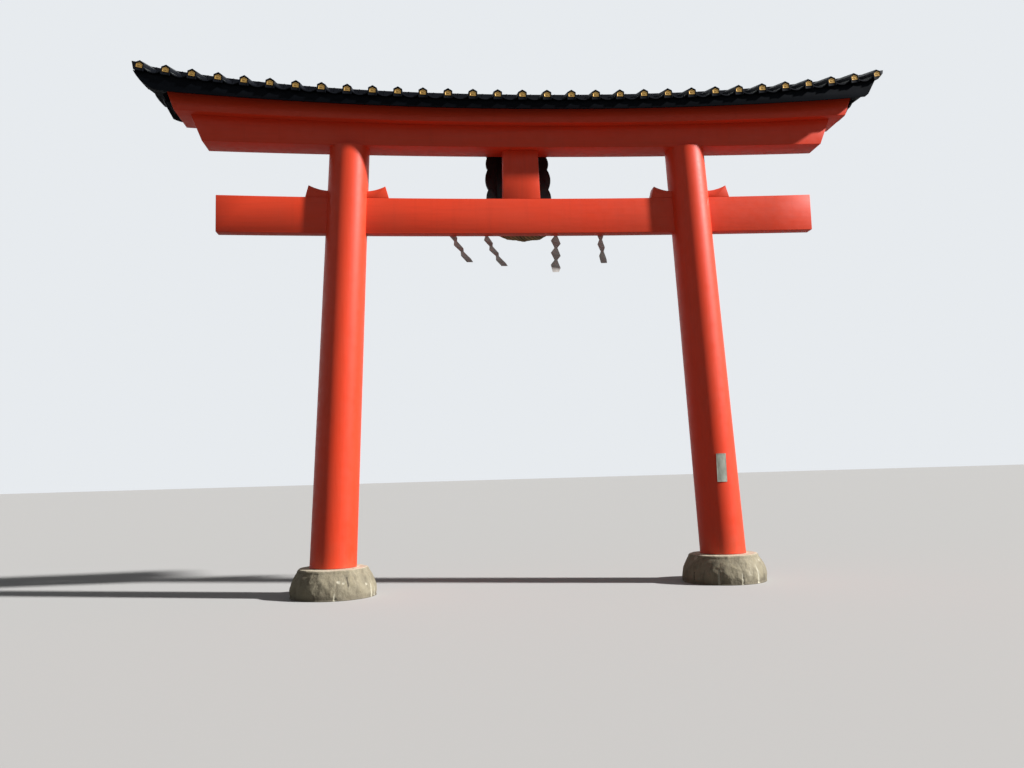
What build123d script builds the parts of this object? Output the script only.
"""Painted timber torii gate with a curved, copper-roofed double lintel.

Lengths are in millimetres. +X runs along the lintels, +Y is the side that carries the name tablet,
+Z is up. The origin lies on the ground, midway between the two plinths.
"""
from build123d import *
import math
import os

os.makedirs("parts", exist_ok=True)

# Plinths
plinth_height = 385
plinth_base_radius = 583
plinth_top_radius = 455
plinth_bulge = 23
plinth_edge_radius = 26

# Pillars: spacing is measured on top of the plinths, lean is inward travel per unit of height
pillar_spacing = 5460
pillar_base_radius = 318
pillar_taper = 0.0060
pillar_lean = 0.0474
pillar_allowance = 200

# Tie beam that runs through both pillars; overhangs are measured from a pillar's axis at its foot
tie_overhang = 1575
tie_thickness = 179
tie_bottom = 5018
tie_height = 507
tie_bottom_rise = 38
tie_top_rise = 60

# Driven wedges above the tie beam
wedge_reach = 300
wedge_root_height = 97
wedge_peak_height = 172
wedge_hollow = 14
wedge_end_lean = 48

# Lower lintel; a rake is how much further its top edge runs than its bottom edge
lower_bottom = 6249
lower_height = 318
lower_depth = 400
lower_overhang = 1740
lower_rake = 155
lower_bottom_rise = 73

# Upper lintel, seated on the lower one and longer by a step at each end
upper_depth = 646
upper_height = 203
upper_step = 195
upper_rake = 95
upper_bottom_rise = 151
upper_top_rise = 209

# Central strut between tie beam and lower lintel
strut_bottom_width = 540
strut_top_width = 508
strut_thickness = 176

# Roof deck: its eaves slope down past the lintel, its ends sweep up to the roofing
fascia_step = 223
soffit_slope = 0.4
deck_step = 110
deck_rake = 375
deck_sweep = 300
deck_sweep_bow = 0.2

# Roofing: dished pans between peaked ribs, with gilded plates on the rib ends
eave_lip = 34
roof_slope = 0.29
roof_lift = 79
roof_rise = 380
roof_snap = 0.32
roof_line_points = 13
pan_sag = 42
pan_thickness = 18
rib_count = 31
rib_width = 122
rib_wall = 50
rib_peak = 36
rib_overhang = 16
rib_seat = 2
cap_thickness = 9
cap_margin = 18
cap_foot = 42
cap_peak = 22
verge_width = 44
verge_top = 62
verge_lean = 22
ridge_width = 150
ridge_height = 75

# Shield-shaped boards on the ends of the upper lintel
shield_thickness = 72
shield_half_width = 300
shield_shoulder = 0.6
shield_hollow = 0.3
shield_tip_half_width = 95
shield_drop = 52

# Name tablet, left bare, on four short arms
tablet_width = 990
tablet_height = 1120
tablet_drop = 55
tablet_lean = 12.5
tablet_foot = 262
frame_thickness = 42
frame_border = 175
lobe_heights = (0.284, 0.333, 0.203, 0.18)
lobe_widths = (0.30, 0.40, 0.30)
lobe_bulge = 0.125
panel_thickness = 22
moulding_width = 26
moulding_height = 14
arm_width = 80
arm_height = 100
arm_spread = 170
arm_rises = (170, 590)

# Straw rope behind the tie beam, thick in the middle, lashed in four places
rope_half_length = 1450
rope_belly_radius = 155
rope_end_radius = 38
rope_belly_half = 640
rope_rise = 120
rope_end_rise = 190
rope_sections = 25
lashing_width = 30
lashing_thickness = 18
lashing_gap = 0.7
lashing_shares = (-0.924, -0.524, 0.524, 0.924)

# Folded paper streamers: share of the rope's half, sideways drift in the breeze, length, width of a fold
streamers = (
    (-0.707, 268, 471, 112),
    (-0.348, 252, 445, 112),
    (0.354, -18, 543, 146),
    (0.803, 48, 526, 104),
)
streamer_hang = 70
streamer_folds = 3
streamer_neck = 46
streamer_points = (0.36, 0.64)
streamer_paper = 3
streamer_cord = 4
streamer_bow = 1.3

# Small bare plate on the right pillar
plate_width = 138
plate_height = 394
plate_thickness = 8
plate_bottom = 1392

# Clearance of a fitted joint
fit = 0.3


def arch(x, half, rise):
    """Height at x of the arc through (0, 0) and (half, rise)."""
    radius = (half**2 + rise**2) / (2 * rise)
    return radius - math.sqrt(radius**2 - x**2)


def arch_line(level, half, rise):
    """Upward-curving line over the full width, for use inside a BuildLine."""
    return ThreePointArc((-half, level + rise), (0, level), (half, level + rise))


# Worked-out places, each tied to the piece it meets
pillar_x = pillar_spacing / 2
tie_half_length = pillar_x + tie_overhang
lower_half_bottom = pillar_x + lower_overhang
lower_half_top = lower_half_bottom + lower_rake
upper_half_bottom = lower_half_top + upper_step
upper_half_top = upper_half_bottom + upper_rake
deck_half_bottom = upper_half_bottom + deck_step
deck_half_top = deck_half_bottom + deck_rake
roof_half = deck_half_top + fit
fascia_reach = upper_depth / 2 + fascia_step
eave_reach = fascia_reach + eave_lip
rib_half = roof_half - verge_width - rib_width / 2
rib_pitch = 2 * rib_half / (rib_count - 1)
rib_places = [rib_pitch * i - rib_half for i in range(rib_count)]
tie_top = tie_bottom + tie_height
lower_top = lower_bottom + lower_height
upper_top = lower_top + upper_height
roof_edge = upper_top + roof_lift
tablet_bottom = tie_top - tablet_drop
rope_axis_height = tie_bottom + rope_rise
deck_drop = pan_sag + pan_thickness + fit
slope_run = Vector(0, 1, roof_slope)
soffit_run = Vector(0, 1, soffit_slope)
fascia_drop = fascia_step * soffit_slope


def tie_top_at(x):
    return tie_top + arch(x, tie_half_length, tie_top_rise)


def lower_bottom_at(x):
    return lower_bottom + arch(x, lower_half_bottom, lower_bottom_rise)


def lower_top_at(x):
    return lower_top + arch(x, upper_half_bottom, upper_bottom_rise)


def upper_top_at(x):
    return upper_top + arch(x, upper_half_top, upper_top_rise)


def roof_line(x):
    """Upper edge of the pans at the eave: a shallow curve that quickens toward the ends."""
    t = x / roof_half
    return roof_edge + roof_rise * ((1 - roof_snap) * t**2 + roof_snap * t**4)


def roof_tilt(x):
    """Angle of the roof line at x, in degrees."""
    t = x / roof_half
    gradient = roof_rise / roof_half * (2 * (1 - roof_snap) * t + 4 * roof_snap * t**3)
    return math.degrees(math.atan(gradient))


def pillar_centre(z):
    """Distance of a pillar's axis from the middle of the gate at height z."""
    return pillar_x - pillar_lean * (z - plinth_height)


def pillar_radius(z):
    return pillar_base_radius - pillar_taper * (z - plinth_height)


def beam_outline(bottom, top):
    """Side view of a beam with arched edges, each (level, half length, rise), for use inside a BuildLine."""
    low = arch_line(*bottom)
    high = arch_line(*top)
    Line(low @ 0, high @ 0)
    Line(low @ 1, high @ 1)


# Plinths: tapering stone drums with bulging sides and a worn upper edge
with BuildPart() as plinth_right:
    with BuildSketch(Plane.XZ):
        with BuildLine():
            base = (pillar_x + plinth_base_radius, 0)
            shoulder = (pillar_x + plinth_top_radius, plinth_height)
            SagittaArc(base, shoulder, -plinth_bulge)
            Polyline(base, (pillar_x, 0), (pillar_x, plinth_height), shoulder)
        make_face()
    revolve(axis=Axis((pillar_x, 0, 0), (0, 0, 1)))
    fillet(plinth_right.edges().group_by(Axis.Z)[-1], plinth_edge_radius)
plinth_right.part.label = "plinth_right"
export_step(plinth_right.part, "parts/plinth_right.step")

with BuildPart() as plinth_left:
    mirror(plinth_right.part, about=Plane.YZ)
plinth_left.part.label = "plinth_left"
export_step(plinth_left.part, "parts/plinth_left.step")

# Tie beam, with a little upward curve
tie_edges = (tie_bottom, tie_half_length, tie_bottom_rise), (tie_top, tie_half_length, tie_top_rise)
with BuildPart() as tie_beam:
    with BuildSketch(Plane.XZ.offset(tie_thickness / 2)):
        with BuildLine():
            beam_outline(*tie_edges)
        make_face()
    extrude(amount=-tie_thickness)
tie_beam.part.label = "tie_beam"
export_step(tie_beam.part, "parts/tie_beam.step")


def wedge_outline(side, grow=0.0):
    """Wedge of the right pillar on one side of its axis, hollowed on top, for use inside a BuildLine."""
    axis_x = pillar_centre(tie_top)
    face_x = axis_x + side * pillar_radius(tie_top)
    end_x = face_x + side * wedge_reach
    middle_x = (axis_x + end_x) / 2
    root = (axis_x, tie_top_at(axis_x))
    foot = (end_x, tie_top_at(end_x))
    peak = (end_x - side * wedge_end_lean, foot[1] + wedge_peak_height)
    knee = (face_x, tie_top_at(face_x) + wedge_root_height + grow)
    hollow = ((peak[0] + knee[0]) / 2, (peak[1] + knee[1]) / 2 - wedge_hollow)
    head = (axis_x, knee[1])
    ThreePointArc(root, (middle_x, tie_top_at(middle_x)), foot)
    Line(foot, peak)
    ThreePointArc(peak, hollow, knee)
    Line(knee, head)
    Line(head, root)


with BuildPart() as wedge_right_inner:
    with BuildSketch(Plane.XZ.offset(tie_thickness / 2)):
        with BuildLine():
            wedge_outline(-1)
        make_face()
    extrude(amount=-tie_thickness)
wedge_right_inner.part.label = "wedge_right_inner"
export_step(wedge_right_inner.part, "parts/wedge_right_inner.step")

with BuildPart() as wedge_right_outer:
    with BuildSketch(Plane.XZ.offset(tie_thickness / 2)):
        with BuildLine():
            wedge_outline(1)
        make_face()
    extrude(amount=-tie_thickness)
wedge_right_outer.part.label = "wedge_right_outer"
export_step(wedge_right_outer.part, "parts/wedge_right_outer.step")

with BuildPart() as wedge_left_inner:
    mirror(wedge_right_inner.part, about=Plane.YZ)
wedge_left_inner.part.label = "wedge_left_inner"
export_step(wedge_left_inner.part, "parts/wedge_left_inner.step")

with BuildPart() as wedge_left_outer:
    mirror(wedge_right_outer.part, about=Plane.YZ)
wedge_left_outer.part.label = "wedge_left_outer"
export_step(wedge_left_outer.part, "parts/wedge_left_outer.step")

# Space above the soffit of the lower lintel, which trims the pillar heads
with BuildPart() as above_soffit:
    with BuildSketch(Plane.XZ.offset(2 * pillar_base_radius)):
        with BuildLine():
            soffit = arch_line(lower_bottom, lower_half_bottom, lower_bottom_rise)
            Polyline(soffit @ 0, (-lower_half_bottom, upper_top), (lower_half_bottom, upper_top), soffit @ 1)
        make_face()
    extrude(amount=-4 * pillar_base_radius)

# Room for the tie beam and its wedges in a pillar
mortise_thickness = tie_thickness + 2 * fit
with BuildPart() as mortise:
    with BuildSketch(Plane.XZ.offset(mortise_thickness / 2)):
        with BuildLine():
            beam_outline(*tie_edges)
        make_face()
    extrude(amount=-mortise_thickness)
    for side in (-1, 1):
        with BuildSketch(Plane.XZ.offset(mortise_thickness / 2)):
            with BuildLine():
                wedge_outline(side, fit)
            make_face()
        extrude(amount=-mortise_thickness)

# Pillars: tapered and leaning, flat on the plinth, mortised for the tie beam and its wedges
pillar_base = Plane((pillar_x, 0, plinth_height), x_dir=(0, 1, 0), z_dir=(-pillar_lean, 0, 1))
with BuildPart() as pillar_right:
    with BuildSketch(pillar_base.offset(-pillar_allowance)):
        Circle(pillar_base_radius + pillar_taper * pillar_allowance)
    extrude(
        amount=lower_bottom - plinth_height + 2 * pillar_allowance,
        taper=math.degrees(math.atan(pillar_taper)),
    )
    split(bisect_by=Plane.XY.offset(plinth_height), keep=Keep.TOP)
    add(above_soffit.part, mode=Mode.SUBTRACT)
    add(mortise.part, mode=Mode.SUBTRACT)
pillar_right.part.label = "pillar_right"
export_step(pillar_right.part, "parts/pillar_right.step")

with BuildPart() as pillar_left:
    mirror(pillar_right.part, about=Plane.YZ)
pillar_left.part.label = "pillar_left"
export_step(pillar_left.part, "parts/pillar_left.step")

# Central strut: a slightly tapering board, shaped to both beams
strut_foot = strut_bottom_width / 2
strut_head = strut_top_width / 2
with BuildPart() as central_strut:
    with BuildSketch(Plane.XZ.offset(strut_thickness / 2)):
        with BuildLine():
            foot = arch_line(tie_top, strut_foot, tie_top_at(strut_foot) - tie_top)
            head = arch_line(lower_bottom, strut_head, lower_bottom_at(strut_head) - lower_bottom)
            Line(foot @ 0, head @ 0)
            Line(foot @ 1, head @ 1)
        make_face()
    extrude(amount=-strut_thickness)
central_strut.part.label = "central_strut"
export_step(central_strut.part, "parts/central_strut.step")

# Lintels: the upper one beds on the lower one along one shared curve
with BuildPart() as lower_lintel:
    with BuildSketch(Plane.XZ.offset(lower_depth / 2)):
        with BuildLine():
            beam_outline(
                (lower_bottom, lower_half_bottom, lower_bottom_rise),
                (lower_top, lower_half_top, lower_top_at(lower_half_top) - lower_top),
            )
        make_face()
    extrude(amount=-lower_depth)
lower_lintel.part.label = "lower_lintel"
export_step(lower_lintel.part, "parts/lower_lintel.step")

with BuildPart() as upper_lintel:
    with BuildSketch(Plane.XZ.offset(upper_depth / 2)):
        with BuildLine():
            beam_outline(
                (lower_top, upper_half_bottom, upper_bottom_rise),
                (upper_top, upper_half_top, upper_top_rise),
            )
        make_face()
    extrude(amount=-upper_depth)
upper_lintel.part.label = "upper_lintel"
export_step(upper_lintel.part, "parts/upper_lintel.step")

# Shield-shaped end boards, seated on the raking ends of the upper lintel
end_low = Vector(upper_half_bottom, 0, lower_top + upper_bottom_rise)
end_high = Vector(upper_half_top, 0, upper_top + upper_top_rise)
end_rake = end_high - end_low
end_plane = Plane(end_low, x_dir=(0, 1, 0), z_dir=(end_rake.Z, 0, -end_rake.X))
shield_top = end_rake.length
shoulder = shield_top * shield_shoulder
with BuildPart() as end_board_right:
    with BuildSketch(end_plane):
        with BuildLine():
            flank = ThreePointArc(
                (shield_half_width, shoulder),
                ((shield_half_width + shield_tip_half_width + shield_drop) / 2, shoulder * shield_hollow),
                (shield_tip_half_width, -shield_drop),
            )
            other = mirror(flank, about=Plane.YZ)
            Line((shield_tip_half_width, -shield_drop), (-shield_tip_half_width, -shield_drop))
            Polyline(
                (shield_half_width, shoulder),
                (shield_half_width, shield_top),
                (-shield_half_width, shield_top),
                (-shield_half_width, shoulder),
            )
        make_face()
    extrude(amount=shield_thickness)
end_board_right.part.label = "end_board_right"
export_step(end_board_right.part, "parts/end_board_right.step")

with BuildPart() as end_board_left:
    mirror(end_board_right.part, about=Plane.YZ)
end_board_left.part.label = "end_board_left"
export_step(end_board_left.part, "parts/end_board_left.step")

# Space above the roof deck: a sheared prism over each slope, and a level cut under the ridge
ridge_half = ridge_width / 2
ridge_seat = (eave_reach - ridge_half) * roof_slope - deck_drop
ridge_crown = eave_reach * roof_slope + ridge_height
ridge_half_length = roof_half
line_stations = [ridge_half_length * (2 * i / (roof_line_points - 1) - 1) for i in range(roof_line_points)]
open_height = roof_rise + eave_reach * roof_slope


def roof_band(level, ceiling):
    """Band between two copies of the roof line, at these heights above it, for use inside a BuildLine."""
    low = Spline([(x, roof_line(x) + level) for x in line_stations])
    high = Spline([(x, roof_line(x) + ceiling) for x in line_stations])
    Line(low @ 0, high @ 0)
    Line(low @ 1, high @ 1)


with BuildPart() as above_front_slope:
    with BuildSketch(Plane.XZ.offset(eave_reach)):
        with BuildLine():
            roof_band(-deck_drop, open_height)
        make_face()
    extrude(amount=eave_reach * slope_run.length, dir=slope_run)

with BuildPart() as above_back_slope:
    mirror(above_front_slope.part, about=Plane.XZ)

with BuildPart() as above_ridge_seat:
    with BuildSketch(Plane.XZ.offset(ridge_half)):
        with BuildLine():
            roof_band(ridge_seat, open_height)
        make_face()
    extrude(amount=-ridge_width)



def below_soffit(level):
    """Space below the soffit's arched line at this height, for use inside a BuildLine."""
    line = arch_line(level, roof_half, upper_top_at(roof_half) - upper_top)
    Polyline(line @ 0, (-roof_half, lower_bottom), (roof_half, lower_bottom), line @ 1)


# Space below the roof deck: a sheared prism under each eave, and a level cut over the upper lintel
fascia_bottom = upper_top - fascia_drop
with BuildPart() as below_front_eave:
    with BuildSketch(Plane.XZ.offset(fascia_reach)):
        with BuildLine():
            below_soffit(fascia_bottom)
        make_face()
    extrude(amount=fascia_step * soffit_run.length, dir=soffit_run)

with BuildPart() as below_back_eave:
    mirror(below_front_eave.part, about=Plane.XZ)

with BuildPart() as over_lintel:
    with BuildSketch(Plane.XZ.offset(upper_depth / 2)):
        with BuildLine():
            below_soffit(upper_top)
        make_face()
    extrude(amount=-upper_depth)

# Roof deck: follows the upper lintel below and the roofing above, with sloping eaves and upswept ends
deck_corner = upper_top_at(deck_half_bottom) - fascia_drop
deck_ceiling = roof_line(deck_half_top) + ridge_seat + fit
with BuildPart() as roof_deck:
    with BuildSketch(Plane.XZ.offset(fascia_reach)):
        with BuildLine():
            arch_line(fascia_bottom, deck_half_bottom, deck_corner - fascia_bottom)
            sweep = SagittaArc(
                (deck_half_bottom, deck_corner),
                (deck_half_top, deck_corner + deck_sweep),
                -deck_sweep * deck_sweep_bow,
            )
            mirror(sweep, about=Plane.YZ)
            Polyline(
                (deck_half_top, deck_corner + deck_sweep),
                (deck_half_top, deck_ceiling),
                (-deck_half_top, deck_ceiling),
                (-deck_half_top, deck_corner + deck_sweep),
            )
        make_face()
    extrude(amount=-2 * fascia_reach)
    add(below_front_eave.part, mode=Mode.SUBTRACT)
    add(below_back_eave.part, mode=Mode.SUBTRACT)
    add(over_lintel.part, mode=Mode.SUBTRACT)
    add(above_front_slope.part, mode=Mode.SUBTRACT)
    add(above_back_slope.part, mode=Mode.SUBTRACT)
    add(above_ridge_seat.part, mode=Mode.SUBTRACT)
roof_deck.part.label = "roof_deck"
export_step(roof_deck.part, "parts/roof_deck.step")


def rib_outline(x, low, wall, peak, width):
    """House-shaped face that stands square to the roof line at x, for use inside a BuildSketch."""
    half = width / 2
    corners = [(-half, low), (half, low), (half, wall), (0, wall + peak), (-half, wall)]
    with Locations(Location((x, roof_line(x) - rib_overhang * roof_slope), roof_tilt(x))):
        Polygon(*corners, align=None)


# Ribs, laid from the eave to the ridge, and a verge strip outside each last rib that leans out to its tip
rib_reach = eave_reach + rib_overhang
rib_foot = rib_seat - deck_drop
verge_corners = [
    (rib_half, roof_line(rib_half) + rib_foot),
    (roof_half - verge_lean, roof_line(roof_half) + rib_foot),
    (roof_half, roof_line(roof_half) + verge_top),
    (rib_half, roof_line(rib_half) + verge_top),
]
with BuildPart() as roof_ribs_front:
    with BuildSketch(Plane.XZ.offset(rib_reach)):
        for x in rib_places:
            rib_outline(x, rib_foot, rib_wall, rib_peak, rib_width)
    extrude(amount=(rib_reach - ridge_half) * slope_run.length, dir=slope_run)
    with BuildSketch(Plane.XZ.offset(eave_reach)):
        for side in (-1, 1):
            Polygon(*[(side * x, z) for x, z in verge_corners], align=None)
    extrude(amount=(eave_reach - ridge_half) * slope_run.length, dir=slope_run)
roof_ribs_front.part.label = "roof_ribs_front"
export_step(roof_ribs_front.part, "parts/roof_ribs_front.step")

with BuildPart() as roof_ribs_back:
    mirror(roof_ribs_front.part, about=Plane.XZ)
roof_ribs_back.part.label = "roof_ribs_back"
export_step(roof_ribs_back.part, "parts/roof_ribs_back.step")

# Gilded plates on the rib ends
cap_width = rib_width - 2 * cap_margin
with BuildPart() as rib_caps_front:
    with BuildSketch(Plane.XZ.offset(rib_reach)):
        for x in rib_places:
            rib_outline(x, rib_foot + cap_foot, rib_wall - cap_margin, cap_peak, cap_width)
    extrude(amount=cap_thickness)
rib_caps_front.part.label = "rib_caps_front"
export_step(rib_caps_front.part, "parts/rib_caps_front.step")

with BuildPart() as rib_caps_back:
    mirror(rib_caps_front.part, about=Plane.XZ)
rib_caps_back.part.label = "rib_caps_back"
export_step(rib_caps_back.part, "parts/rib_caps_back.step")


def rib_side(x, side, height):
    """Point on a rib's flank, height above the roof line."""
    tilt = math.radians(roof_tilt(x))
    along = side * (rib_width / 2 + fit)
    return (
        x + along * math.cos(tilt) - height * math.sin(tilt),
        roof_line(x) + along * math.sin(tilt) + height * math.cos(tilt),
    )


# Pans, dished between neighbouring ribs
with BuildPart() as roof_pans_front:
    with BuildSketch(Plane.XZ.offset(eave_reach)):
        for x in rib_places[:-1]:
            next_x = x + rib_pitch
            upper = (rib_side(x, 1, 0), rib_side(next_x, -1, 0))
            under = (rib_side(x, 1, -pan_thickness), rib_side(next_x, -1, -pan_thickness))
            centre = Vector((upper[0][0] + upper[1][0]) / 2, (upper[0][1] + upper[1][1]) / 2)
            with BuildLine():
                ThreePointArc(upper[0], centre - Vector(0, pan_sag), upper[1])
                ThreePointArc(under[0], centre - Vector(0, pan_sag + pan_thickness), under[1])
                Line(upper[0], under[0])
                Line(upper[1], under[1])
            make_face()
    extrude(amount=(eave_reach - ridge_half) * slope_run.length, dir=slope_run)
roof_pans_front.part.label = "roof_pans_front"
export_step(roof_pans_front.part, "parts/roof_pans_front.step")

with BuildPart() as roof_pans_back:
    mirror(roof_pans_front.part, about=Plane.XZ)
roof_pans_back.part.label = "roof_pans_back"
export_step(roof_pans_back.part, "parts/roof_pans_back.step")

# Ridge: a low box that closes the tops of ribs and pans
with BuildPart() as ridge_cap:
    with BuildSketch(Plane.XZ.offset(ridge_half)):
        with BuildLine():
            roof_band(ridge_seat, ridge_crown)
        make_face()
    extrude(amount=-ridge_width)
ridge_cap.part.label = "ridge_cap"
export_step(ridge_cap.part, "parts/ridge_cap.step")

# Tablet: cloud-edged frame, raised moulding and bare panel, in a plane that leans out over the path
lean = math.radians(tablet_lean)
outward = (0, -math.cos(lean), math.sin(lean))
tablet_plane = Plane((0, tablet_foot, tablet_bottom), x_dir=(1, 0, 0), z_dir=outward)


def lobed_edge(start, end, shares):
    """Row of outward-bulging arcs from start to end, for use inside a BuildLine."""
    start = Vector(*start)
    run = Vector(*end) - start
    outward = Vector(run.Y, -run.X).normalized()
    done = 0
    for share in shares:
        low = start + run * done
        high = start + run * (done + share)
        ThreePointArc(low, (low + high) / 2 + outward * (run.length * share * lobe_bulge), high)
        done += share


core_half = tablet_width / 2 - tablet_height * max(lobe_heights) * lobe_bulge
core_low = tablet_width * max(lobe_widths) * lobe_bulge
core_high = tablet_height - core_low
window_width = tablet_width - 2 * frame_border
window_height = tablet_height - 2 * frame_border
window_centre = Location((0, tablet_height / 2))
with BuildPart() as tablet_frame:
    with BuildSketch(tablet_plane):
        with BuildLine():
            lobed_edge((-core_half, core_low), (core_half, core_low), lobe_widths)
            lobed_edge((core_half, core_low), (core_half, core_high), lobe_heights)
            lobed_edge((core_half, core_high), (-core_half, core_high), lobe_widths)
            lobed_edge((-core_half, core_high), (-core_half, core_low), reversed(lobe_heights))
        make_face()
        with Locations(window_centre):
            Rectangle(window_width, window_height, mode=Mode.SUBTRACT)
    extrude(amount=-frame_thickness)
tablet_frame.part.label = "tablet_frame"
export_step(tablet_frame.part, "parts/tablet_frame.step")

with BuildPart() as tablet_panel:
    with BuildSketch(tablet_plane):
        with Locations(window_centre):
            Rectangle(window_width - 2 * fit, window_height - 2 * fit)
    extrude(amount=-panel_thickness)
tablet_panel.part.label = "tablet_panel"
export_step(tablet_panel.part, "parts/tablet_panel.step")

with BuildPart() as tablet_moulding:
    with BuildSketch(tablet_plane.offset(-frame_thickness)):
        with Locations(window_centre):
            Rectangle(window_width + 2 * moulding_width, window_height + 2 * moulding_width)
            Rectangle(window_width, window_height, mode=Mode.SUBTRACT)
    extrude(amount=-moulding_height)
tablet_moulding.part.label = "tablet_moulding"
export_step(tablet_moulding.part, "parts/tablet_moulding.step")


def tablet_back(z):
    """Y of the tablet's back face at height z."""
    return tablet_foot + (z - tablet_bottom) * math.tan(lean)


# Arms from the strut to the tablet, two at each level
with BuildPart() as tablet_arms:
    for side in (-1, 1):
        with BuildSketch(Plane.YZ.offset(side * arm_spread - arm_width / 2)):
            for level in (tablet_bottom + rise for rise in arm_rises):
                Polygon(
                    (strut_thickness / 2, level),
                    (tablet_back(level), level),
                    (tablet_back(level + arm_height), level + arm_height),
                    (strut_thickness / 2, level + arm_height),
                    align=None,
                )
        extrude(amount=arm_width)
tablet_arms.part.label = "tablet_arms"
export_step(tablet_arms.part, "parts/tablet_arms.step")


def rope_radius(x):
    """Radius of the rope: a smooth belly on a slender rope."""
    t = min(abs(x) / rope_belly_half, 1)
    return rope_end_radius + (rope_belly_radius - rope_end_radius) * (1 + math.cos(math.pi * t)) / 2


def rope_axis(x):
    """Centre of the rope, which lies against the back of the tie beam and sags in the middle."""
    stand_off = tie_thickness / 2 + lashing_thickness + lashing_gap + fit
    rise = rope_end_rise * (x / rope_half_length) ** 2
    return Vector(x, stand_off + rope_radius(x), rope_axis_height + rise)


def rope_plane(x):
    """Plane square to the rope at x."""
    step = 1
    ahead = rope_axis(x + step) - rope_axis(x - step)
    return Plane(rope_axis(x), x_dir=(0, 0, 1), z_dir=ahead)


rope_stations = [rope_half_length * (2 * i / (rope_sections - 1) - 1) for i in range(rope_sections)]
with BuildPart() as rope:
    for x in rope_stations:
        with BuildSketch(rope_plane(x)):
            Circle(rope_radius(x))
    loft(ruled=True)
rope.part.label = "rope"
export_step(rope.part, "parts/rope.step")

# Clearance round the rope, which trims the streamers' cords
with BuildPart() as rope_clearance:
    for x in rope_stations:
        with BuildSketch(rope_plane(x)):
            Circle(rope_radius(x) + fit)
    loft(ruled=True)

with BuildPart() as rope_lashings:
    for share in lashing_shares:
        x = share * rope_half_length
        ring = rope_plane(x)
        middle = rope_radius(x) + lashing_gap + lashing_thickness / 2
        with BuildSketch(Plane(ring.origin, x_dir=ring.x_dir, z_dir=ring.x_dir.cross(ring.z_dir))):
            with Locations((middle, 0)):
                Rectangle(lashing_thickness, lashing_width)
        revolve(axis=Axis(ring.origin, ring.z_dir))
rope_lashings.part.label = "rope_lashings"
export_step(rope_lashings.part, "parts/rope_lashings.step")

# Paper streamers, each on a thin cord from the underside of the rope: a chain of slanted folds
for number, (rope_share, drift, length, width) in enumerate(streamers, 1):
    place = rope_share * rope_half_length
    root = rope_axis(place)
    top = root.Z - rope_radius(place) - streamer_hang
    fold = length / streamer_folds
    edges = ([], [])
    for side, edge, point in zip((-1, 1), edges, streamer_points):
        for i in range(streamer_folds):
            for step, half in ((i, streamer_neck / 2), (i + point, width / 2)):
                share = step / streamer_folds
                edge.append((place + drift * share**streamer_bow + side * half, top - length * share))
        edge.append((place + drift + side * streamer_neck, top - length))
    with BuildPart() as streamer:
        with BuildSketch(Plane.XZ.offset(-root.Y + streamer_paper / 2)):
            Polygon(*edges[0], *reversed(edges[1]), align=None)
        extrude(amount=-streamer_paper)
        with BuildSketch(Plane.XY.offset(top - fold / 2)):
            with Locations((place, root.Y)):
                Circle(streamer_cord)
        extrude(amount=root.Z - top + fold / 2)
        add(rope_clearance.part, mode=Mode.SUBTRACT)
    streamer.part.label = f"streamer_{number}"
    export_step(streamer.part, f"parts/streamer_{number}.step")

# Bare plate, curved to the face of the right pillar
plate_middle = plate_bottom + plate_height / 2
with BuildPart() as pillar_plate:
    with BuildSketch(pillar_base):
        Circle(pillar_base_radius + plate_thickness)
    extrude(amount=2 * plate_middle, taper=math.degrees(math.atan(pillar_taper)))
    with BuildSketch(Plane.XZ):
        with Locations((pillar_centre(plate_middle), plate_middle)):
            Rectangle(plate_width, plate_height)
    extrude(amount=2 * pillar_base_radius, mode=Mode.INTERSECT)
    with BuildSketch(pillar_base):
        Circle(pillar_base_radius)
    extrude(amount=2 * plate_middle, taper=math.degrees(math.atan(pillar_taper)), mode=Mode.SUBTRACT)
pillar_plate.part.label = "pillar_plate"
export_step(pillar_plate.part, "parts/pillar_plate.step")
